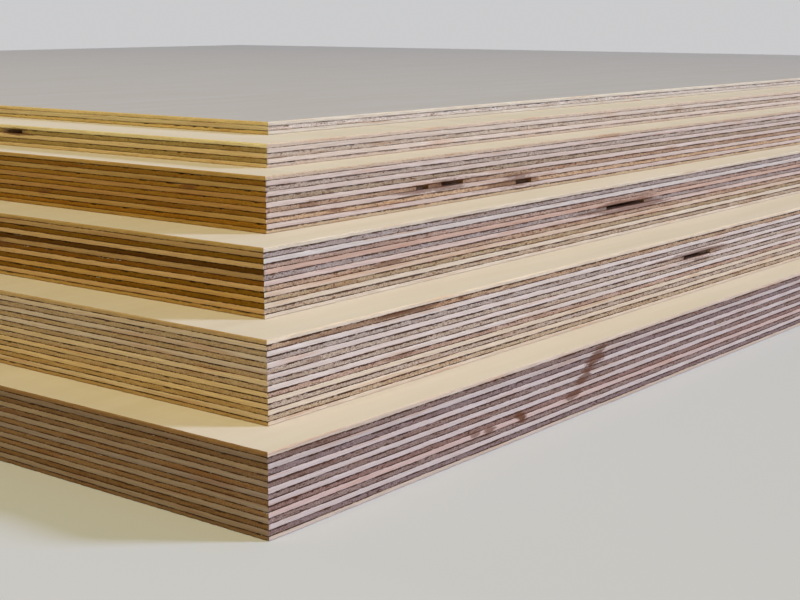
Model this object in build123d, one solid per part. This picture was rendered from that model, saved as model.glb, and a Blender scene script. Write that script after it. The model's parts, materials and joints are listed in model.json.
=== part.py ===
"""A stack of six birch plywood sheets, lying flat with their near corners stepped back.

Millimetres, +Z up. X runs along the right-hand edges of the stack and Y along its
left-hand edges, both away from the near corner. The origin is on the floor, at the
middle of the stack's footprint.

A sheet is a pile of thin birch veneers, each glued with its grain across the grain of
the one below. From the floor up it is a back veneer, then crossbands and centres by
turns, and a face veneer. Crossbands have their grain across the face's grain and centres
have it along, so a sheet has one crossband more than it has centres.
"""

import os

from build123d import *

# A sheet is a quarter of a 1525 mm square panel, sawn on all four edges
sheet_size_x = 762.0
sheet_size_y = 762.0

# Veneers as pressed, and as sanded on the sheet's two outer sides
inner_veneer = 1.42
sanded_veneer = 1.20

# A sheet's outer arrises are eased by sanding
arris = 0.25

# The saw tears end grain a little deeper than side grain, so the two end grain edges of a
# veneer lie this far behind the edges of the veneers above and below it
end_grain_tear = 0.08

# The sheets from the floor up: how many crossbands each has, which way its face grain
# runs, how far its near corner is set back from the one below in X and in Y, and how many
# degrees it is turned on the stack
SHEETS = {
    "sheet_1": dict(crossbands=7, face_grain="x", back_x=0.0, back_y=0.0, turned=0.0),
    "sheet_2": dict(crossbands=7, face_grain="x", back_x=15.2, back_y=14.1, turned=-0.25),
    "sheet_3": dict(crossbands=6, face_grain="x", back_x=16.8, back_y=16.5, turned=0.22),
    "sheet_4": dict(crossbands=5, face_grain="y", back_x=17.3, back_y=15.2, turned=-0.25),
    "sheet_5": dict(crossbands=2, face_grain="y", back_x=14.9, back_y=13.5, turned=-0.08),
    "sheet_6": dict(crossbands=1, face_grain="x", back_x=21.8, back_y=20.0, turned=-0.22),
}

# Knot holes that the saw cut open on an edge: the inner veneer that has it, counted up
# from the back, how far along the edge from the near corner its middle is, how long its
# mouth is and how far it reaches in
KNOT_HOLES = [
    dict(sheet="sheet_2", layer=8, edge="right", along=217.0, mouth=20.0, deep=3.5),
    dict(sheet="sheet_3", layer=6, edge="right", along=181.0, mouth=26.0, deep=4.5),
    dict(sheet="sheet_4", layer=3, edge="right", along=67.0, mouth=6.0, deep=2.0),
    dict(sheet="sheet_4", layer=3, edge="right", along=82.0, mouth=11.0, deep=3.0),
    dict(sheet="sheet_4", layer=1, edge="right", along=121.0, mouth=9.0, deep=2.5),
    dict(sheet="sheet_5", layer=2, edge="left", along=111.0, mouth=9.0, deep=2.5),
]


def across(grain):
    """The direction across the grain given."""
    return "y" if grain == "x" else "x"


def veneer(grain, thickness):
    """A veneer with the near corner of its sheet at the origin and its underside at zero."""
    tear_x = end_grain_tear if grain == "x" else 0.0
    tear_y = end_grain_tear if grain == "y" else 0.0
    outline = Rectangle(sheet_size_x - 2 * tear_x, sheet_size_y - 2 * tear_y, align=Align.MIN)
    return extrude(Pos(tear_x, tear_y) * outline, thickness)


def outer_veneer(grain, outer_side):
    """A sanded veneer, with its arrises eased on the top (Z) or the underside (-Z)."""
    plate = veneer(grain, sanded_veneer)
    outer_face = plate.faces().sort_by(outer_side)[-1]
    return chamfer(outer_face.edges(), min(arris, sanded_veneer / 3))


def knot_hole(edge, along, mouth, deep):
    """The half oval that a sawn knot hole leaves in a veneer, right through it."""
    if edge == "right":
        oval = Pos(along, 0) * Ellipse(mouth / 2, deep)
    else:
        oval = Pos(0, along) * Ellipse(deep, mouth / 2)
    return extrude(oval, inner_veneer)


def inner_veneers(name, crossbands, face_grain):
    """A sheet's inner veneers from the back up: crossbands, with a centre between each two."""
    layers = []
    for layer in range(2 * crossbands - 1):
        grain = across(face_grain) if layer % 2 == 0 else face_grain
        plate = veneer(grain, inner_veneer)
        for hole in KNOT_HOLES:
            if (hole["sheet"], hole["layer"]) == (name, layer):
                plate -= knot_hole(hole["edge"], hole["along"], hole["mouth"], hole["deep"])
        layers.append(Pos(0, 0, sanded_veneer + layer * inner_veneer) * plate)
    return layers


def sheet(name, crossbands, face_grain):
    """One sheet's veneers, named by what each is for, and the sheet's thickness."""
    layers = inner_veneers(name, crossbands, face_grain)
    face_underside = sanded_veneer + len(layers) * inner_veneer
    pieces = {
        "back_veneer": [outer_veneer(face_grain, -Axis.Z)],
        "crossband_veneers": layers[0::2],
        "centre_veneers": layers[1::2],
        "face_veneer": [Pos(0, 0, face_underside) * outer_veneer(face_grain, Axis.Z)],
    }
    return pieces, face_underside + sanded_veneer


def stack():
    """Every sheet's veneers in place, with the bottom sheet's near corner at the origin."""
    nodes = {}
    corner_x = 0.0
    corner_y = 0.0
    underside = 0.0
    for name, laid in SHEETS.items():
        corner_x += laid["back_x"]
        corner_y += laid["back_y"]
        place = Pos(corner_x, corner_y, underside) * Rot(0, 0, laid["turned"])
        pieces, thickness = sheet(name, laid["crossbands"], laid["face_grain"])
        for piece, solids in pieces.items():
            if solids:
                nodes[f"{name}_{piece}"] = [place * solid for solid in solids]
        underside += thickness
    return nodes


def main():
    nodes = stack()
    footprint = Compound([solid for solids in nodes.values() for solid in solids]).bounding_box()
    to_origin = Pos(-footprint.center().X, -footprint.center().Y, 0)
    os.makedirs("parts", exist_ok=True)
    for name, solids in nodes.items():
        export_step(Compound([to_origin * solid for solid in solids]), f"parts/{name}.step")


main()
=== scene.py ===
"""Dresses a stack of six birch plywood sheets: sawn edges, glue lines and sanded faces.

Metres, +Z up. X runs along the right-hand edges of the stack and Y along its left-hand
edges, both away from the near corner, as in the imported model.
"""

import json
import math
import random

import bmesh
import bpy
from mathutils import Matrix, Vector

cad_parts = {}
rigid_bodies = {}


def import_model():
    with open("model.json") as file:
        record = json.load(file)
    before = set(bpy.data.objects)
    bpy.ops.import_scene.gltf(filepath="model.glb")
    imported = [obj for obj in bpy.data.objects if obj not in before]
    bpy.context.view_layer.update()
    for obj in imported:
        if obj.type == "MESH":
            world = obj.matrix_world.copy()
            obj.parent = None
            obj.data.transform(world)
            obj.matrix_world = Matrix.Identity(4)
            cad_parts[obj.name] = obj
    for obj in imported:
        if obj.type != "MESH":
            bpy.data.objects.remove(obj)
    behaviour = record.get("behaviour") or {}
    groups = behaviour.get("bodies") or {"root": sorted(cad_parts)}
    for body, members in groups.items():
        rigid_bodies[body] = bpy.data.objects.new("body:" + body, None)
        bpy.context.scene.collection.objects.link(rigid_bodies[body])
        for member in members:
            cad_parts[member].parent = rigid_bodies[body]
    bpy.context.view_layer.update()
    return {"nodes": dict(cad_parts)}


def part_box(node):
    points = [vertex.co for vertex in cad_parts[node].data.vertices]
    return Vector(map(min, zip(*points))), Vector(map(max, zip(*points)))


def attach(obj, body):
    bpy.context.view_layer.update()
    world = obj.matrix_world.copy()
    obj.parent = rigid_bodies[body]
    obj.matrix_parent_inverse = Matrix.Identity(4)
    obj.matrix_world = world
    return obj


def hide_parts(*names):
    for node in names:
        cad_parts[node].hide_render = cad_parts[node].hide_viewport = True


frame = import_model()

mm = 0.001

# A veneer inside a sheet, and one sanded on the sheet's outer side
inner_veneer = 1.42 * mm
sanded_veneer = 1.20 * mm

# Heights of the rows of points on a sawn edge, as shares of the veneer's thickness
inner_rows = (0.07, 0.45, 0.78, 0.94)
back_rows = (0.45, 0.78, 0.94)
face_rows = (0.07, 0.40)

# An edge is divided finely near the corner that is seen close up: where each stretch ends,
# measured from that corner, and the spacing of its points on near and far edges
stretches = (
    dict(end=80 * mm, near=0.80 * mm, far=4.0 * mm),
    dict(end=180 * mm, near=1.00 * mm, far=4.0 * mm),
    dict(end=340 * mm, near=2.00 * mm, far=4.0 * mm),
    dict(end=770 * mm, near=4.60 * mm, far=5.0 * mm),
)
longest_spacing = 5.4 * mm
most_stretches = 101

# Points nearer than this are one point, and faces less bent than this are one face
same_point = 0.002 * mm
same_plane = math.radians(0.3)

# Edges more bent than this stay crisp
crisp_bend = math.radians(35)

# The sheets from the floor up: the way the outer veneers' grain runs, and the colours of
# the wood, linear, where the grain runs along an edge and where the saw cut across it, for
# the veneers with their grain along X and for those with it along Y. Then the tint of each
# veneer from the back up, on the right-hand edge and on the left-hand edge, and how much of
# the glue shows. The tints are partly each veneer's own tone and partly painted light: the
# lower veneers of a sheet are mostly creamier and yellower, painted bounce light from the
# ledge below, and the upper ones greyer
SHEETS = {
    "sheet_1": dict(
        grain="x", glue=0.92, x_side=(0.68, 0.54, 0.46), x_end=(0.30, 0.17, 0.075),
        y_side=(0.38, 0.28, 0.20), y_end=(0.34, 0.22, 0.17),
        right="cream grey plain plain pink pink pale plain plain plain pale grey plain plain cream",
        left="grey plain deep plain plain plain plain grey plain plain grey cream deep deep cream",
    ),
    "sheet_2": dict(
        grain="x", glue=0.95, x_side=(0.78, 0.64, 0.52), x_end=(0.52, 0.36, 0.19),
        y_side=(0.71, 0.56, 0.39), y_end=(0.58, 0.43, 0.30),
        right="cream cream cream plain cream pink plain plain pale plain pale grey plain peach cream",
        left="yellow cream yellow yellow cream yellow plain cream plain grey plain grey grey plain cream",
    ),
    "sheet_3": dict(
        grain="x", glue=0.88, x_side=(0.73, 0.62, 0.52), x_end=(0.24, 0.10, 0.008),
        y_side=(0.60, 0.39, 0.17), y_end=(0.52, 0.39, 0.29),
        outer_end=(0.50, 0.33, 0.13),
        right="cream cream cream yellow peach peach pink grey red pink plain grey cream",
        left="yellow pale olive yellow olive pale plain deep dark plain olive deep cream",
    ),
    "sheet_4": dict(
        grain="y", glue=0.78, x_side=(0.67, 0.53, 0.42), x_end=(0.35, 0.17, 0.02),
        y_side=(0.48, 0.30, 0.10), y_end=(0.62, 0.46, 0.31),
        right="cream pale peach pale brown pale deep pale grey pale pale",
        left="yellow yellow pale deep pink plain pink plain plain deep cream",
    ),
    "sheet_5": dict(
        grain="y", glue=0.62, x_side=(0.73, 0.60, 0.46), x_end=(0.54, 0.39, 0.14),
        y_side=(0.77, 0.66, 0.40), y_end=(0.66, 0.51, 0.36),
        right="pale pale plain pale pale",
        left="peach deep peach deep cream",
    ),
    "sheet_6": dict(
        grain="x", glue=0.50, x_side=(0.72, 0.64, 0.56), x_end=(0.75, 0.59, 0.32),
        y_side=(0.69, 0.61, 0.46), y_end=(0.77, 0.64, 0.50),
        right="cream plain cream",
        left="yellow yellow cream",
    ),
}

# What a tint does to the wood's colour
TINTS = {
    "plain": (1.00, 1.00, 1.00),
    "pale": (1.07, 1.06, 1.07),
    "grey": (0.92, 0.94, 1.02),
    "cream": (1.05, 1.02, 0.88),
    "yellow": (1.04, 0.97, 0.72),
    "peach": (1.04, 0.91, 0.76),
    "pink": (1.00, 0.88, 0.84),
    "red": (0.96, 0.74, 0.64),
    "olive": (1.00, 1.12, 0.90),
    "brown": (0.84, 0.73, 0.66),
    "deep": (0.80, 0.77, 0.72),
    "dark": (0.48, 0.46, 0.36),
}

# How much darker and paler than its colour the pattern of side grain makes it
side_range = (0.86, 1.12)

# The saw tore the end grain on the right-hand edges (grain along Y) more than on the
# left-hand ones: how much darker and paler than its colour its pattern makes it, how strong
# its brown crumbs are, and how wide the dark line on its upper side is where it is
# narrowest and widest. That line is partly glue and partly painted shadow: the shade that
# falls under the veneer above, where the torn end grain lies back
TEARING = {
    "x": dict(deep=0.82, pale=1.14, crumbs=0.35, narrowest=0.10 * mm, widest=0.28 * mm),
    "y": dict(deep=0.70, pale=1.24, crumbs=0.85, narrowest=0.16 * mm, widest=0.54 * mm),
}

# The sanded outer veneers are denser, and torn this much as strongly
outer_torn_share = 0.4

# The patterns of a sawn edge, in millimetres: how long each is with the grain, how wide
# across it and how high, then the detail, roughness and seed of its noise
EDGE_PATTERNS = dict(
    fibre=(9, 0.22, 0.22, 3.0, 0.6, 0),
    broad=(55, 2.5, 2.5, 2.0, 0.5, 0),
    crumb=(0.6, 0.42, 0.28, 4.0, 0.7, 0),
    speck=(1.5, 1.5, 0.5, 3.0, 0.6, 4),
    patch=(14, 9, 2, 3.0, 0.6, 0),
    heart=(26, 26, 1.3, 2.0, 0.5, 7),
    glue_run=(7, 7, 0.9, 2.0, 0.5, 5),
    glue_break=(1.2, 1.2, 0.7, 3.0, 0.7, 6),
)

# The patterns of a sanded face, in millimetres: length with the grain and width across it,
# then the detail, roughness, distortion and seed of the noise
FACE_PATTERNS = dict(
    sway=(320, 60, 2.0, 0.5, 0.0, 0),
    fibre=(24, 0.35, 3.0, 0.6, 0.0, 0),
    silk=(90, 9, 3.0, 0.55, 0.2, 3),
    fleck=(7, 0.9, 1.0, 0.5, 0.0, 9),
)

# How many times the figure of a face turns from pale to deep over one sway
figure_bands = 80.0

# A glue line's width at its thinnest and thickest, on the upper side of side grain and on
# the lower side of any veneer, and how dark its breaks are
side_glue = (0.07 * mm, 0.15 * mm)
lower_glue = (0.08 * mm, 0.20 * mm)
break_darkness = 0.55

# Colours, linear
glue_brown = (0.060, 0.021, 0.007)
heart_red = (0.88, 0.70, 0.58)
crumb_brown = (0.30, 0.15, 0.065)
face_pale = (0.72, 0.65, 0.56)
face_deep = (0.68, 0.61, 0.50)
fleck_brown = (0.42, 0.27, 0.15)

# The top sheet's face is painted darker and bluer than the others: painted shade, for the dim grey the
# top takes on where it is seen at a grazing angle
face_painted_shade = {"sheet_6": (0.69, 0.75, 0.92)}


def across(grain):
    """The direction across the grain given."""
    return "y" if grain == "x" else "x"


def shaded(colour, share):
    """A colour made darker or paler, and deeper as it darkens."""
    return tuple(min(0.95, part * share ** (1 + 0.25 * n)) for n, part in enumerate(colour))


# Modelling helpers


def edit(piece):
    """Makes the piece the only one selected, and opens it for editing."""
    bpy.ops.object.select_all(action="DESELECT")
    piece.select_set(True)
    bpy.context.view_layer.objects.active = piece
    bpy.ops.object.mode_set(mode="EDIT")


def close():
    bpy.ops.object.mode_set(mode="OBJECT")


def pick_faces(piece, test):
    """Selects the faces that pass the test, and nothing else."""
    bpy.ops.mesh.select_mode(type="FACE")
    bpy.ops.mesh.select_all(action="DESELECT")
    form = bmesh.from_edit_mesh(piece.data)
    form.normal_update()
    for face in form.faces:
        if test(face):
            face.select_set(True)
    form.select_flush_mode()
    bmesh.update_edit_mesh(piece.data)


def pick_edges(piece, chosen):
    """Selects the edges with these numbers, and nothing else."""
    bpy.ops.mesh.select_mode(type="EDGE")
    bpy.ops.mesh.select_all(action="DESELECT")
    form = bmesh.from_edit_mesh(piece.data)
    form.edges.ensure_lookup_table()
    for number in chosen:
        form.edges[number].select_set(True)
    form.select_flush_mode()
    bmesh.update_edit_mesh(piece.data)


def flatten(piece, chosen, height):
    """Brings the points with these numbers to one height."""
    if not chosen:
        return
    edit(piece)
    bpy.ops.mesh.select_mode(type="VERT")
    bpy.ops.mesh.select_all(action="DESELECT")
    form = bmesh.from_edit_mesh(piece.data)
    form.verts.ensure_lookup_table()
    for number in chosen:
        form.verts[number].select_set(True)
    bmesh.update_edit_mesh(piece.data)
    bpy.ops.transform.resize(value=(1, 1, 0), center_override=(0, 0, height))
    close()


def slice_at(place, normal):
    """Cuts the whole piece along a plane, and keeps both sides."""
    bpy.ops.mesh.select_all(action="SELECT")
    bpy.ops.mesh.bisect(plane_co=place, plane_no=normal, threshold=0.001 * mm)


# A sheet's place


class Place:
    """Where a sheet lies: its near corner, the ways its edges run, and its two heights."""

    def __init__(self, sheet):
        corners = [v.co for v in frame["nodes"][f"{sheet}_crossband_veneers"].data.vertices]
        near = min(corners, key=lambda p: p.x + p.y)
        right = max(corners, key=lambda p: p.x - p.y)
        left = max(corners, key=lambda p: p.y - p.x)
        self.corner = Vector((near.x, near.y, 0))
        self.right = Vector((right.x - near.x, right.y - near.y, 0)).normalized()
        self.left = Vector((left.x - near.x, left.y - near.y, 0)).normalized()
        self.length = math.hypot(right.x - near.x, right.y - near.y)
        self.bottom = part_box(f"{sheet}_back_veneer")[0].z
        self.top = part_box(f"{sheet}_face_veneer")[1].z

    def along(self, point):
        """How far a point is from the near corner, along the right and the left edge."""
        flat = Vector((point.x, point.y, 0)) - self.corner
        return flat.dot(self.right), flat.dot(self.left)

    def at(self, edge, along, up):
        """A point on the right or left edge, at a height above the sheet's underside."""
        way = self.right if edge == "right" else self.left
        return self.corner + way * along + Vector((0, 0, self.bottom + up))


PLACES = {sheet: Place(sheet) for sheet in SHEETS}


# The veneers' shapes

# A point this near a sawn edge is on it, and one this near a sheet's outer side is on its arris
edge_reach = 0.5 * mm
arris_reach = 0.3 * mm

# How much of the edges' roughness reaches the corners and the arrises
corner_roughness = 0.6
arris_roughness = 0.3

# The saw tears a veneer's upper part, from this share of its thickness, and most at its lip
torn_from = 0.7
lip_from = 0.9
below_lip_tear = 0.55


def walls_of(place, point):
    """Which sawn edges of the sheet a point is on, out of right, left, far_right, far_left."""
    rightward, leftward = place.along(point)
    found = []
    if abs(leftward) < edge_reach:
        found.append("right")
    if abs(rightward) < edge_reach:
        found.append("left")
    if abs(leftward - place.length) < edge_reach:
        found.append("far_left")
    if abs(rightward - place.length) < edge_reach:
        found.append("far_right")
    return found


def points_wanted(place, edge):
    """How many stretches a long edge is divided into, 1 where it stays whole."""
    middle = (edge.verts[0].co + edge.verts[1].co) / 2
    walls = walls_of(place, middle)
    if not walls:
        return 1
    near = walls[0] in ("right", "left")
    distance = max(place.along(middle)) if near else min(place.along(middle))
    stretch = next(s for s in stretches if distance < s["end"])
    spacing = stretch["near"] if near else stretch["far"]
    return min(most_stretches, max(1, round(edge.calc_length() / spacing)))


def divide_edges(piece, place):
    """Divides the sawn edges lengthwise, finely near the corner and coarsely further off."""
    for stretch in stretches[:-1]:
        for way in (place.right, place.left):
            slice_at(place.corner + way * stretch["end"], way)
    while True:
        by_count = {}
        form = bmesh.from_edit_mesh(piece.data)
        form.edges.index_update()
        for edge in form.edges:
            if edge.calc_length() > longest_spacing:
                count = points_wanted(place, edge)
                by_count.setdefault(count, []).append(edge.index)
        by_count.pop(1, None)
        if not by_count:
            return
        count, chosen = by_count.popitem()
        pick_edges(piece, chosen)
        bpy.ops.mesh.subdivide(number_cuts=count - 1)


def veneer_heights(part, low, high):
    """The underside and thickness of each veneer in a piece, from the back up."""
    if part in ("back_veneer", "face_veneer"):
        return [(low, high - low)]
    count = round(((high - low) / inner_veneer + 1) / 2)
    return [(low + 2 * inner_veneer * n, inner_veneer) for n in range(count)]


def rows_of(part):
    return {"back_veneer": back_rows, "face_veneer": face_rows}.get(part, inner_rows)


def wavy(name, kind, **settings):
    """A texture that a Displace modifier reads."""
    texture = bpy.data.textures.new(name, kind)
    texture.use_clamp = True
    for key, value in settings.items():
        setattr(texture, key, value)
    return texture


def spread(name, along, up):
    """An empty whose scale stretches a texture: its pattern's size along an edge and up it."""
    bpy.ops.object.add(type="EMPTY", location=(0, 0, 0))
    empty = bpy.context.object
    empty.name = name
    empty.scale = (along, along, up)
    return empty


def push(piece, group, texture, empty, strength, direction, mid_level):
    """Moves a group of the piece's points by a texture, and keeps the result."""
    bpy.ops.object.modifier_add(type="DISPLACE")
    change = piece.modifiers[-1]
    change.texture = texture
    change.texture_coords = "OBJECT"
    change.texture_coords_object = empty
    change.vertex_group = group
    change.strength = strength
    change.direction = direction
    change.mid_level = mid_level
    bpy.ops.object.modifier_apply(modifier=change.name)


glue_line_waves = wavy("glue_line_waves", "CLOUDS", noise_scale=1.0, noise_depth=1)
sawn_fuzz = wavy("sawn_fuzz", "CLOUDS", noise_scale=1.0, noise_depth=2)
torn_spots = wavy(
    "torn_spots", "CLOUDS", noise_scale=1.0, noise_depth=1, contrast=5.0, intensity=0.10
)
chipped_spots = wavy(
    "chipped_spots", "CLOUDS", noise_scale=1.0, noise_depth=2, contrast=4.0, intensity=0.35
)

wave_spread = spread("wave_spread", 26 * mm, 2.1 * mm)
fuzz_spread = spread("fuzz_spread", 0.9 * mm, 0.6 * mm)
torn_spread = spread("torn_spread", 2.6 * mm, 0.9 * mm)
chip_spread = spread("chip_spread", 2.2 * mm, 1.5 * mm)

wave_height = 0.20 * mm
lip_depth = 0.05 * mm
end_fuzz_depth = 0.10 * mm
side_fuzz_depth = 0.03 * mm
torn_depth = 0.55 * mm
chip_depth = 0.22 * mm


def mark(piece, group, weights):
    """Makes a vertex group of these points, each with its weight."""
    made = piece.vertex_groups.new(name=group)
    for number, weight in weights.items():
        made.add([number], weight, "REPLACE")


def attribute(piece, name, kind, values):
    """Keeps a value with each point of the piece, for its material to read."""
    made = piece.data.attributes.new(name=name, type=kind, domain="POINT")
    field = "color" if kind == "FLOAT_COLOR" else "value"
    flat = [n for value in values for n in value] if kind == "FLOAT_COLOR" else values
    made.data.foreach_set(field, flat)


def tint_of(sheet, part, layer, walls):
    """The tint of one veneer of a piece on the sawn edge that a point is on: its own tone and painted
    bounce light together.
    """
    first = {"back_veneer": 0, "crossband_veneers": 1, "centre_veneers": 2, "face_veneer": -1}[part]
    side = "left" if "left" in walls or "far_right" in walls else "right"
    return SHEETS[sheet][side].split()[first + 2 * layer]


def model_veneers(sheet, part, grain, name):
    """One piece of a sheet: its veneers, with rows of points along their sawn edges."""
    place = PLACES[sheet]
    source = frame["nodes"][f"{sheet}_{part}"]
    piece = source.copy()
    piece.data = source.data.copy()
    piece.name = name
    piece.data.name = name
    piece.parent = None
    for key in list(piece.keys()):
        del piece[key]
    bpy.context.scene.collection.objects.link(piece)
    low, high = (corner.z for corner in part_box(f"{sheet}_{part}"))
    veneers = veneer_heights(part, low, high)

    edit(piece)
    bpy.ops.mesh.customdata_custom_splitnormals_clear()
    bpy.ops.mesh.select_all(action="SELECT")
    bpy.ops.mesh.remove_doubles(threshold=same_point)
    bpy.ops.mesh.dissolve_limited(angle_limit=same_plane)
    pick_faces(piece, lambda face: abs(face.normal.z) > 0.95)
    bpy.ops.mesh.delete(type="ONLY_FACE")
    for underside, thickness in veneers:
        for row in rows_of(part):
            slice_at((0, 0, underside + row * thickness), (0, 0, 1))
    divide_edges(piece, place)
    close()

    points = [v.co.copy() for v in piece.data.vertices]
    layer_of = []
    share_of = []
    for point in points:
        distances = [abs(point.z - (base + deep / 2)) for base, deep in veneers]
        layer = distances.index(min(distances))
        base, deep = veneers[layer]
        layer_of.append(layer)
        share_of.append((point.z - base) / deep)
    attribute(piece, "across_veneer", "FLOAT", share_of)

    end_walls = ("left", "far_right") if grain == "x" else ("right", "far_left")
    looseness, end_points, side_points, lips, upper_lips, arris = {}, {}, {}, {}, {}, {}
    for number, point in enumerate(points):
        share = share_of[number]
        outer_gap = min(point.z - place.bottom, place.top - point.z)
        looseness[number] = min(1.0, max(0.0, outer_gap / sanded_veneer))
        walls = walls_of(place, point)
        if not walls:
            continue
        on_end = any(wall in end_walls for wall in walls)
        group = end_points if on_end else side_points
        group[number] = corner_roughness if len(walls) > 1 else 1.0
        if outer_gap < arris_reach:
            arris[number] = 1.0
            group[number] = arris_roughness
            continue
        if share < 0.01 or share > 0.99:
            lips[number] = 1.0
        if on_end and share > torn_from:
            upper_lips[number] = 1.0 if share > lip_from else below_lip_tear
    for group, weights in dict(
        looseness=looseness, end_points=end_points, side_points=side_points,
        lips=lips, upper_lips=upper_lips, arris=arris,
    ).items():
        mark(piece, group, weights)

    push(piece, "looseness", glue_line_waves, wave_spread, wave_height, "Z", 0.5)
    before = [v.co.copy() for v in piece.data.vertices]
    push(piece, "lips", None, None, -lip_depth, "NORMAL", 0.0)
    push(piece, "end_points", sawn_fuzz, fuzz_spread, -end_fuzz_depth, "NORMAL", 0.0)
    push(piece, "side_points", sawn_fuzz, fuzz_spread, -side_fuzz_depth, "NORMAL", 0.0)
    push(piece, "upper_lips", torn_spots, torn_spread, -torn_depth, "NORMAL", 0.0)
    if arris:
        push(piece, "arris", chipped_spots, chip_spread, -chip_depth, "NORMAL", 0.0)
    # How far each point was pushed in, kept for the painted shade in the dents
    dent_shade = [(v.co - old).length / torn_depth for v, old in zip(piece.data.vertices, before)]
    for height in (place.bottom, place.top):
        level = [n for n, point in enumerate(points) if abs(point.z - height) < 0.01 * mm]
        flatten(piece, level, height)
    attribute(piece, "dent_shade", "FLOAT", dent_shade)

    shades = random.Random(name)
    tones = [shades.uniform(0.95, 1.05) for layer in veneers]
    # The tints hold each veneer's own tone and painted bounce light: lower veneers yellower, upper ones
    # greyer
    tints = []
    for point, layer in zip(points, layer_of):
        tint = TINTS[tint_of(sheet, part, layer, walls_of(place, point))]
        tints.append((*(tones[layer] * share for share in tint), 1.0))
    attribute(piece, "veneer_tint_and_bounce", "FLOAT_COLOR", tints)

    edit(piece)
    bpy.ops.mesh.select_all(action="SELECT")
    bpy.ops.mesh.fill_holes(sides=0)
    bpy.ops.mesh.select_all(action="SELECT")
    bpy.ops.mesh.normals_make_consistent(inside=False)
    close()
    piece.vertex_groups.clear()
    bpy.ops.object.shade_smooth_by_angle(angle=crisp_bend)
    return piece


# Materials


class Finish:
    """A material under construction, with one short method for each kind of node in it."""

    def __init__(self, name):
        self.material = bpy.data.materials.new(name)
        self.material.use_nodes = True
        self.tree = self.material.node_tree
        self.tree.nodes.clear()
        self.output = self.tree.nodes.new("ShaderNodeOutputMaterial")
        self.shader = self.tree.nodes.new("ShaderNodeBsdfPrincipled")
        self.tree.links.new(self.shader.outputs["BSDF"], self.output.inputs["Surface"])

    def feed(self, socket, value):
        """Links a socket to another, or sets it to a constant."""
        if isinstance(value, bpy.types.NodeSocket):
            self.tree.links.new(value, socket)
        elif isinstance(value, (tuple, Vector)) and socket.type == "RGBA":
            socket.default_value = (*value[:3], 1.0)
        else:
            socket.default_value = value

    def place(self):
        return self.tree.nodes.new("ShaderNodeTexCoord").outputs["Object"]

    def facing(self):
        return self.tree.nodes.new("ShaderNodeTexCoord").outputs["Normal"]

    def kept(self, name, output="Fac"):
        """An attribute that the modelling left on the piece."""
        made = self.tree.nodes.new("ShaderNodeAttribute")
        made.attribute_name = name
        return made.outputs[output]

    def vector(self, operation, a, b, output="Vector"):
        made = self.tree.nodes.new("ShaderNodeVectorMath")
        made.operation = operation
        self.feed(made.inputs[0], a)
        if b is not None:
            self.feed(made.inputs[1], b)
        return made.outputs[output]

    def math(self, operation, a, b=0.0, clamp=False):
        made = self.tree.nodes.new("ShaderNodeMath")
        made.operation = operation
        made.use_clamp = clamp
        self.feed(made.inputs[0], a)
        self.feed(made.inputs[1], b)
        return made.outputs[0]

    def stretched(self, position, grain, length, width, height=None):
        """The position, scaled so that a pattern is this long with the grain and this wide."""
        size = {grain: length, across(grain): width, "z": height or width}
        return self.vector("MULTIPLY", position, tuple(1 / size[axis] for axis in "xyz"))

    def noise(self, position, detail=2.0, roughness=0.5, distortion=0.0, offset=0.0):
        made = self.tree.nodes.new("ShaderNodeTexNoise")
        made.inputs["Scale"].default_value = 1.0
        made.inputs["Detail"].default_value = detail
        made.inputs["Roughness"].default_value = roughness
        made.inputs["Distortion"].default_value = distortion
        moved = self.vector("ADD", position, (offset, offset * 1.7, offset * 2.3))
        self.feed(made.inputs["Vector"], moved)
        return made.outputs["Fac"]

    def ramp(self, value, low, high, to_low=0.0, to_high=1.0):
        """A smooth step of the value from low to high."""
        made = self.tree.nodes.new("ShaderNodeMapRange")
        made.interpolation_type = "SMOOTHSTEP"
        for socket, number in (
            ("Value", value), ("From Min", low), ("From Max", high),
            ("To Min", to_low), ("To Max", to_high),
        ):
            self.feed(made.inputs[socket], number)
        return made.outputs["Result"]

    def mix(self, share, first, second, blend="MIX"):
        made = self.tree.nodes.new("ShaderNodeMix")
        made.data_type = "RGBA"
        made.blend_type = blend
        made.clamp_factor = True
        self.feed(made.inputs["Factor"], share)
        self.feed(made.inputs[6], first)
        self.feed(made.inputs[7], second)
        return made.outputs[2]

    def bump(self, height, distance, strength):
        made = self.tree.nodes.new("ShaderNodeBump")
        made.inputs["Strength"].default_value = strength
        made.inputs["Distance"].default_value = distance
        self.feed(made.inputs["Height"], height)
        return made.outputs["Normal"]


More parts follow.
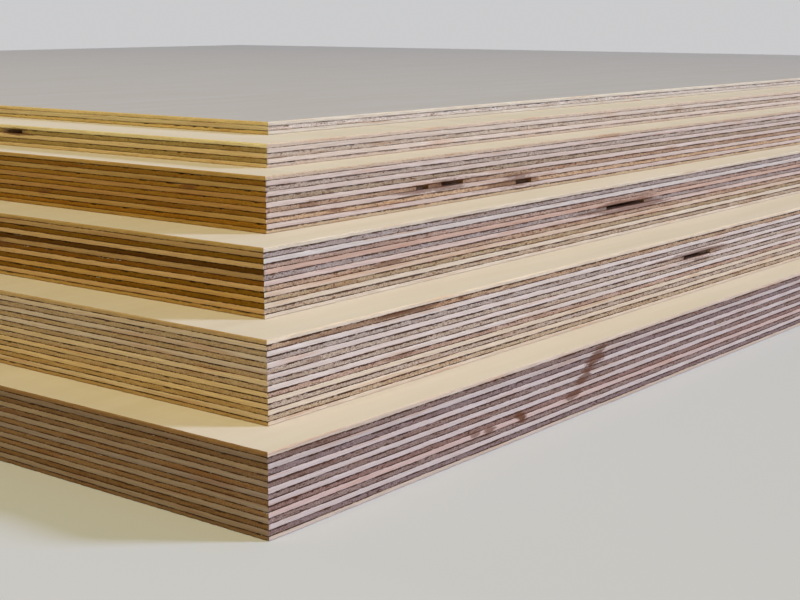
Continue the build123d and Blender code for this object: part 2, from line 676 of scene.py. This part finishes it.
# Stains and knots on the sawn edges, in millimetres: how far along the edge, how far above
# the sheet's underside, half its length and height, how strong it is, and how far a leaning
# one goes along the edge for each millimetre up
STAINS = [
    dict(sheet="sheet_1", edge="right", along=143, up=16.8, long=5.5, tall=2.6, strength=0.8, lean=1.2),
    dict(sheet="sheet_1", edge="right", along=136, up=11.5, long=4.6, tall=3.0, strength=0.8, lean=1.2),
    dict(sheet="sheet_1", edge="right", along=130, up=7.0, long=4.0, tall=2.2, strength=0.7, lean=1.2),
    dict(sheet="sheet_1", edge="right", along=102, up=6.4, long=3.2, tall=1.7, strength=0.95, lean=-0.6),
    dict(sheet="sheet_1", edge="right", along=80, up=6.4, long=2.2, tall=1.1, strength=0.65),
    dict(sheet="sheet_1", edge="right", along=87, up=6.0, long=3.4, tall=1.1, strength=0.75),
    dict(sheet="sheet_1", edge="right", along=17, up=18.9, long=12.0, tall=0.9, strength=0.4),
    dict(sheet="sheet_1", edge="right", along=15, up=13.2, long=12.0, tall=0.9, strength=0.4),
    dict(sheet="sheet_2", edge="right", along=32, up=18.8, long=26.0, tall=0.8, strength=0.4),
    dict(sheet="sheet_2", edge="right", along=60, up=18.9, long=17.0, tall=1.0, strength=0.7),
    dict(sheet="sheet_2", edge="right", along=77, up=19.2, long=2.6, tall=0.9, strength=0.85),
    dict(sheet="sheet_2", edge="right", along=50, up=7.9, long=8.0, tall=0.9, strength=0.45),
    dict(sheet="sheet_2", edge="right", along=17, up=13.2, long=3.5, tall=0.9, strength=0.45),
    dict(sheet="sheet_2", edge="right", along=217, up=13.3, long=24.0, tall=2.6, strength=0.66),
    dict(sheet="sheet_3", edge="right", along=49, up=7.6, long=8.0, tall=1.0, strength=0.55),
    dict(sheet="sheet_3", edge="right", along=181, up=10.4, long=27.0, tall=2.6, strength=0.66),
    dict(sheet="sheet_3", edge="left", along=112, up=8.8, long=14.0, tall=2.4, strength=0.5),
    dict(sheet="sheet_4", edge="right", along=76, up=6.2, long=20.0, tall=2.2, strength=0.66),
    dict(sheet="sheet_4", edge="right", along=17, up=6.2, long=3.5, tall=0.9, strength=0.45),
    dict(sheet="sheet_4", edge="right", along=28, up=3.4, long=4.0, tall=1.1, strength=0.6),
    dict(sheet="sheet_4", edge="right", along=116, up=3.4, long=17.0, tall=2.2, strength=0.66),
    dict(sheet="sheet_4", edge="left", along=92, up=4.2, long=5.0, tall=1.0, strength=0.6),
    dict(sheet="sheet_4", edge="left", along=29, up=10.6, long=4.0, tall=0.9, strength=0.6),
    dict(sheet="sheet_5", edge="left", along=111, up=4.6, long=9.0, tall=1.1, strength=0.8),
]
stain_brown = (0.16, 0.062, 0.028)
stain_reach = 8 * mm


def stain_share(finish, position, stain, ragged):
    """How much of the stain's colour a point takes."""
    place = PLACES[stain["sheet"]]
    centre = place.at(stain["edge"], stain["along"] * mm, stain["up"] * mm)
    along, inward = place.right, place.left
    if stain["edge"] == "left":
        along, inward = inward, along
    offset = finish.vector("SUBTRACT", position, tuple(centre))
    sizes = (
        (along - Vector((0, 0, stain.get("lean", 0.0)))) / (stain["long"] * mm),
        Vector((0, 0, 1)) / (stain["tall"] * mm),
        inward / stain_reach,
    )
    made = finish.tree.nodes.new("ShaderNodeCombineXYZ")
    for socket, size in zip(made.inputs, sizes):
        finish.feed(socket, finish.vector("DOT_PRODUCT", offset, tuple(size), "Value"))
    distance = finish.vector("LENGTH", made.outputs[0], None, "Value")
    return finish.ramp(finish.math("ADD", distance, ragged), 1.1, 0.55, 0.0, stain["strength"])


def glue_share(finish, gap, width, dashes):
    """How much of the glue's colour shows at this distance from the veneer's side, with the painted
    shadow that widens the line on the upper side of end grain.
    """
    line = finish.math("SUBTRACT", 1.0, finish.ramp(gap, finish.math("MULTIPLY", width, 0.55), width))
    return finish.math("MULTIPLY", line, dashes)


def edge_finish(sheet, part, grain):
    """Birch sawn across its edges: smooth pale side grain, rough dark end grain, glue lines, painted
    shadow under the veneers above and painted shade in the torn dents.
    """
    look = SHEETS[sheet]
    tearing = TEARING[grain]
    finish = Finish(f"{sheet}_{part}_sawn_birch")
    position = finish.place()
    facing = finish.facing()
    with_grain = (1.0, 0.0, 0.0) if grain == "x" else (0.0, 1.0, 0.0)
    cut_across = finish.math("ABSOLUTE", finish.vector("DOT_PRODUCT", facing, with_grain, "Value"))
    end_share = finish.ramp(cut_across, 0.45, 0.75)
    seed = list(SHEETS).index(sheet) * 3.1

    def pattern(name):
        with_the_grain, across_it, up, detail, roughness, offset = EDGE_PATTERNS[name]
        size = finish.stretched(position, grain, with_the_grain * mm, across_it * mm, up * mm)
        return finish.noise(size, detail, roughness, 0.0, seed + offset)

    fibre, broad, crumb, speck, patch, heart = (
        pattern(name) for name in ("fibre", "broad", "crumb", "speck", "patch", "heart")
    )
    run = finish.math("ADD", pattern("glue_run"), pattern("glue_break"))

    side_deep, side_pale = (shaded(look[f"{grain}_side"], share) for share in side_range)
    end_colour = look[f"{grain}_end"]
    torn_share = 1.0
    if part in ("back_veneer", "face_veneer"):
        end_colour = look.get("outer_end", end_colour)
        torn_share = outer_torn_share
    end_deep, end_pale = (
        shaded(end_colour, 1 + torn_share * (tearing[share] - 1)) for share in ("deep", "pale")
    )
    side = finish.mix(finish.ramp(fibre, 0.3, 0.7), side_deep, side_pale)
    side = finish.mix(finish.ramp(broad, 0.35, 0.75, 0.0, 0.5), side, side_deep)
    end = finish.mix(finish.ramp(crumb, 0.38, 0.60), end_deep, end_pale)
    end = finish.mix(finish.ramp(patch, 0.42, 0.72, 0.0, 0.6), end, end_deep)
    wood = finish.mix(end_share, side, end)
    # Multiplies in the veneer's tint, its own tone and painted bounce light
    wood = finish.mix(1.0, wood, finish.kept("veneer_tint_and_bounce", "Color"), "MULTIPLY")
    wood = finish.mix(finish.ramp(heart, 0.55, 0.72, 0.0, 0.65), wood, heart_red, "MULTIPLY")
    crumbs = finish.ramp(speck, 0.56, 0.68, 0.0, torn_share * tearing["crumbs"])
    crumbs = finish.math("MULTIPLY", crumbs, end_share)
    wood = finish.mix(crumbs, wood, crumb_brown, "MULTIPLY")

    share = finish.kept("across_veneer")
    thickness = inner_veneer if part in ("crossband_veneers", "centre_veneers") else sanded_veneer
    dashes = finish.ramp(run, 0.80, 1.04, break_darkness, 1.0)
    glue = 0.0
    if part != "back_veneer":
        gap = finish.math("MULTIPLY", share, thickness)
        width = finish.ramp(run, 0.80, 1.16, *lower_glue)
        glue = glue_share(finish, gap, width, dashes)
    if part != "face_veneer":
        gap = finish.math("MULTIPLY", finish.math("SUBTRACT", 1.0, share), thickness)
        # Painted shadow: on end grain the upper glue line is widened by the shade under the veneer above
        glue_and_shadow_width = finish.ramp(run, 0.82, 1.12, tearing["narrowest"], tearing["widest"])
        narrow = finish.ramp(run, 0.80, 1.16, *side_glue)
        made = finish.tree.nodes.new("ShaderNodeMix")
        finish.feed(made.inputs[0], end_share)
        finish.feed(made.inputs[2], narrow)
        finish.feed(made.inputs[3], glue_and_shadow_width)
        glue = finish.math("MAXIMUM", glue, glue_share(finish, gap, made.outputs[0], dashes))
    wood = finish.mix(finish.math("MULTIPLY", glue, look["glue"]), wood, glue_brown)
    # Painted shade: the torn dents darken towards the glue's brown, the deeper the darker
    dent_shade = finish.ramp(finish.kept("dent_shade"), 0.32, 0.9, 0.0, 0.8)
    wood = finish.mix(dent_shade, wood, glue_brown)
    ragged = finish.math("SUBTRACT", finish.math("ADD", speck, finish.math("MULTIPLY", heart, 2.4)), 1.7)
    for stain in STAINS:
        if stain["sheet"] == sheet:
            wood = finish.mix(stain_share(finish, position, stain, ragged), wood, stain_brown)

    crumbly = finish.math("MULTIPLY", crumb, end_share)
    rough = finish.math("ADD", crumbly, finish.math("MULTIPLY", fibre, 0.3))
    finish.feed(finish.shader.inputs["Base Color"], wood)
    finish.shader.inputs["Roughness"].default_value = 0.75
    finish.shader.inputs["Specular IOR Level"].default_value = 0.04
    finish.feed(finish.shader.inputs["Normal"], finish.bump(rough, 0.16 * mm, 0.9))
    return finish.material


def face_finish(sheet, grain):
    """Rotary-cut birch, sanded: a faint wavy figure, fine fibres and small flecks."""
    finish = Finish(f"{sheet}_sanded_birch")
    position = finish.place()
    seed = list(SHEETS).index(sheet) * 5.7

    def pattern(name):
        with_the_grain, across_it, detail, roughness, distortion, offset = FACE_PATTERNS[name]
        size = finish.stretched(position, grain, with_the_grain * mm, across_it * mm)
        return finish.noise(size, detail, roughness, distortion, seed + offset)

    sway, fibre, silk, fleck = (pattern(name) for name in ("sway", "fibre", "silk", "fleck"))
    figure = finish.math("SINE", finish.math("MULTIPLY", sway, figure_bands))
    figure = finish.ramp(figure, -1.0, 1.0)
    colour = finish.mix(finish.ramp(silk, 0.3, 0.7), face_pale, face_deep)
    colour = finish.mix(finish.math("MULTIPLY", figure, 0.18), colour, face_deep)
    colour = finish.mix(finish.ramp(fibre, 0.35, 0.75, 0.0, 0.3), colour, face_deep)
    colour = finish.mix(finish.ramp(fleck, 0.76, 0.84, 0.0, 0.25), colour, fleck_brown)
    # Painted shade: the top sheet's face is darkened and made bluer here
    colour = finish.mix(1.0, colour, face_painted_shade.get(sheet, (1.0, 1.0, 1.0)), "MULTIPLY")
    finish.feed(finish.shader.inputs["Base Color"], colour)
    finish.feed(finish.shader.inputs["Roughness"], finish.ramp(fibre, 0.2, 0.8, 0.70, 0.80))
    finish.shader.inputs["Specular IOR Level"].default_value = 0.12
    finish.feed(finish.shader.inputs["Normal"], finish.bump(fibre, 0.02 * mm, 0.5))
    return finish.material


# The pieces

PARTS = {
    "back_veneer": dict(name="back_birch", slot="outer_birch"),
    "crossband_veneers": dict(name="crossbands", slot="crossband_birch"),
    "centre_veneers": dict(name="centres", slot="centre_birch"),
    "face_veneer": dict(name="face_birch", slot="outer_birch"),
}

for sheet, look in SHEETS.items():
    sanded = face_finish(sheet, look["grain"])
    for part, facts in PARTS.items():
        node = f"{sheet}_{part}"
        if node not in frame["nodes"]:
            continue
        grain = across(look["grain"]) if part == "crossband_veneers" else look["grain"]
        piece = model_veneers(sheet, part, grain, f"{sheet}_{facts['name']}")
        piece.data.materials.clear()
        piece.data.materials.append(edge_finish(sheet, part, grain))
        piece.data.materials.append(sanded)
        outer = {"back_veneer": -1, "face_veneer": 1}.get(part, 0)
        for face in piece.data.polygons:
            face.material_index = 1 if face.normal.z * outer > 0.95 else 0
        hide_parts(node)
        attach(piece, "root")

for empty in (wave_spread, fuzz_spread, torn_spread, chip_spread):
    bpy.data.objects.remove(empty)


# Floor, light and camera


backdrop_pale = (0.60, 0.60, 0.61)
floor_pale = (0.62, 0.64, 0.68)
floor_size = 60

# How far from the stack's middle the floor starts to turn into the backdrop, and ends
blend_start = 0.7
blend_end = 2.6


def floor():
    """A pale floor that turns into the pale backdrop well away from the stack."""
    bpy.ops.mesh.primitive_plane_add(size=floor_size, location=(0, 0, 0))
    made = bpy.context.object
    made.name = "floor"
    finish = Finish("pale_floor")
    finish.shader.inputs["Base Color"].default_value = (*floor_pale, 1.0)
    finish.shader.inputs["Roughness"].default_value = 1.0
    finish.shader.inputs["Specular IOR Level"].default_value = 0.0
    away = finish.vector("LENGTH", finish.place(), None, "Value")
    path = finish.tree.nodes.new("ShaderNodeLightPath")
    seen = finish.math("MAXIMUM", path.outputs["Is Camera Ray"], path.outputs["Is Glossy Ray"])
    glow = finish.tree.nodes.new("ShaderNodeEmission")
    glow.inputs["Color"].default_value = (*backdrop_pale, 1.0)
    blend = finish.tree.nodes.new("ShaderNodeMixShader")
    turned = finish.ramp(away, blend_start, blend_end)
    finish.feed(blend.inputs[0], finish.math("MULTIPLY", seen, turned))
    finish.feed(blend.inputs[1], finish.shader.outputs["BSDF"])
    finish.feed(blend.inputs[2], glow.outputs["Emission"])
    finish.feed(finish.output.inputs["Surface"], blend.outputs[0])
    made.data.materials.append(finish.material)


def lamp(name, heading, height, distance, size, level, colour):
    """A soft lamp that looks at the near corner. Its level is 1 where a colour that faces
    it renders as it is written. Headings are in degrees from +X towards +Y."""
    aim = PLACES["sheet_3"].corner + Vector((0.1, 0.1, 0.05))
    turn, rise = math.radians(heading), math.radians(height)
    way = Vector((math.cos(turn) * math.cos(rise), math.sin(turn) * math.cos(rise), math.sin(rise)))
    bpy.ops.object.light_add(type="AREA", location=aim + way * distance)
    made = bpy.context.object
    made.name = name
    made.data.shape = "DISK"
    made.data.size = size
    made.data.energy = level * math.pi**2 * distance**2
    made.data.color = colour
    made.rotation_mode = "QUATERNION"
    made.rotation_quaternion = way.to_track_quat("Z", "Y")
    made.visible_camera = False


def world(level, colour):
    """Pale to the eye, and a dimmer even light on the object."""
    made = bpy.data.worlds.new("pale_room")
    bpy.context.scene.world = made
    made.use_nodes = True
    tree = made.node_tree
    tree.nodes.clear()
    seen = tree.nodes.new("ShaderNodeBackground")
    seen.inputs["Color"].default_value = (*backdrop_pale, 1)
    lit = tree.nodes.new("ShaderNodeBackground")
    lit.inputs["Color"].default_value = (*colour, 1)
    lit.inputs["Strength"].default_value = level
    path = tree.nodes.new("ShaderNodeLightPath")
    either = tree.nodes.new("ShaderNodeMath")
    either.operation = "MAXIMUM"
    tree.links.new(path.outputs["Is Camera Ray"], either.inputs[0])
    tree.links.new(path.outputs["Is Glossy Ray"], either.inputs[1])
    choice = tree.nodes.new("ShaderNodeMixShader")
    tree.links.new(either.outputs[0], choice.inputs["Fac"])
    tree.links.new(lit.outputs[0], choice.inputs[1])
    tree.links.new(seen.outputs[0], choice.inputs[2])
    output = tree.nodes.new("ShaderNodeOutputWorld")
    tree.links.new(choice.outputs[0], output.inputs["Surface"])


floor()
world(level=0.14, colour=(1.0, 0.96, 0.88))
lamp(
    "cool_window", heading=-51.8, height=24, distance=18.0, size=3.4, level=0.98,
    colour=(0.56, 0.67, 1.0),
)
lamp(
    "warm_lamp", heading=200, height=62, distance=3.0, size=1.5, level=0.66,
    colour=(0.97, 0.83, 0.45),
)
lamp(
    "far_fill", heading=92, height=6, distance=4.0, size=1.0, level=0.20,
    colour=(1.0, 0.95, 0.86),
)

camera_place = Vector((-0.6507, -0.6352, 0.1164))
camera_heading = math.radians(38.18)
camera_dip = math.radians(11.142)
camera_lens = 65.39

bpy.ops.object.camera_add(location=camera_place)
camera = bpy.context.object
camera.rotation_euler = (math.pi / 2 - camera_dip, 0, camera_heading - math.pi / 2)
camera.data.lens = camera_lens
camera.data.sensor_width = 36
camera.data.clip_start = 0.01
camera.data.clip_end = 100
bpy.context.scene.camera = camera

bpy.context.scene.view_settings.view_transform = "Standard"
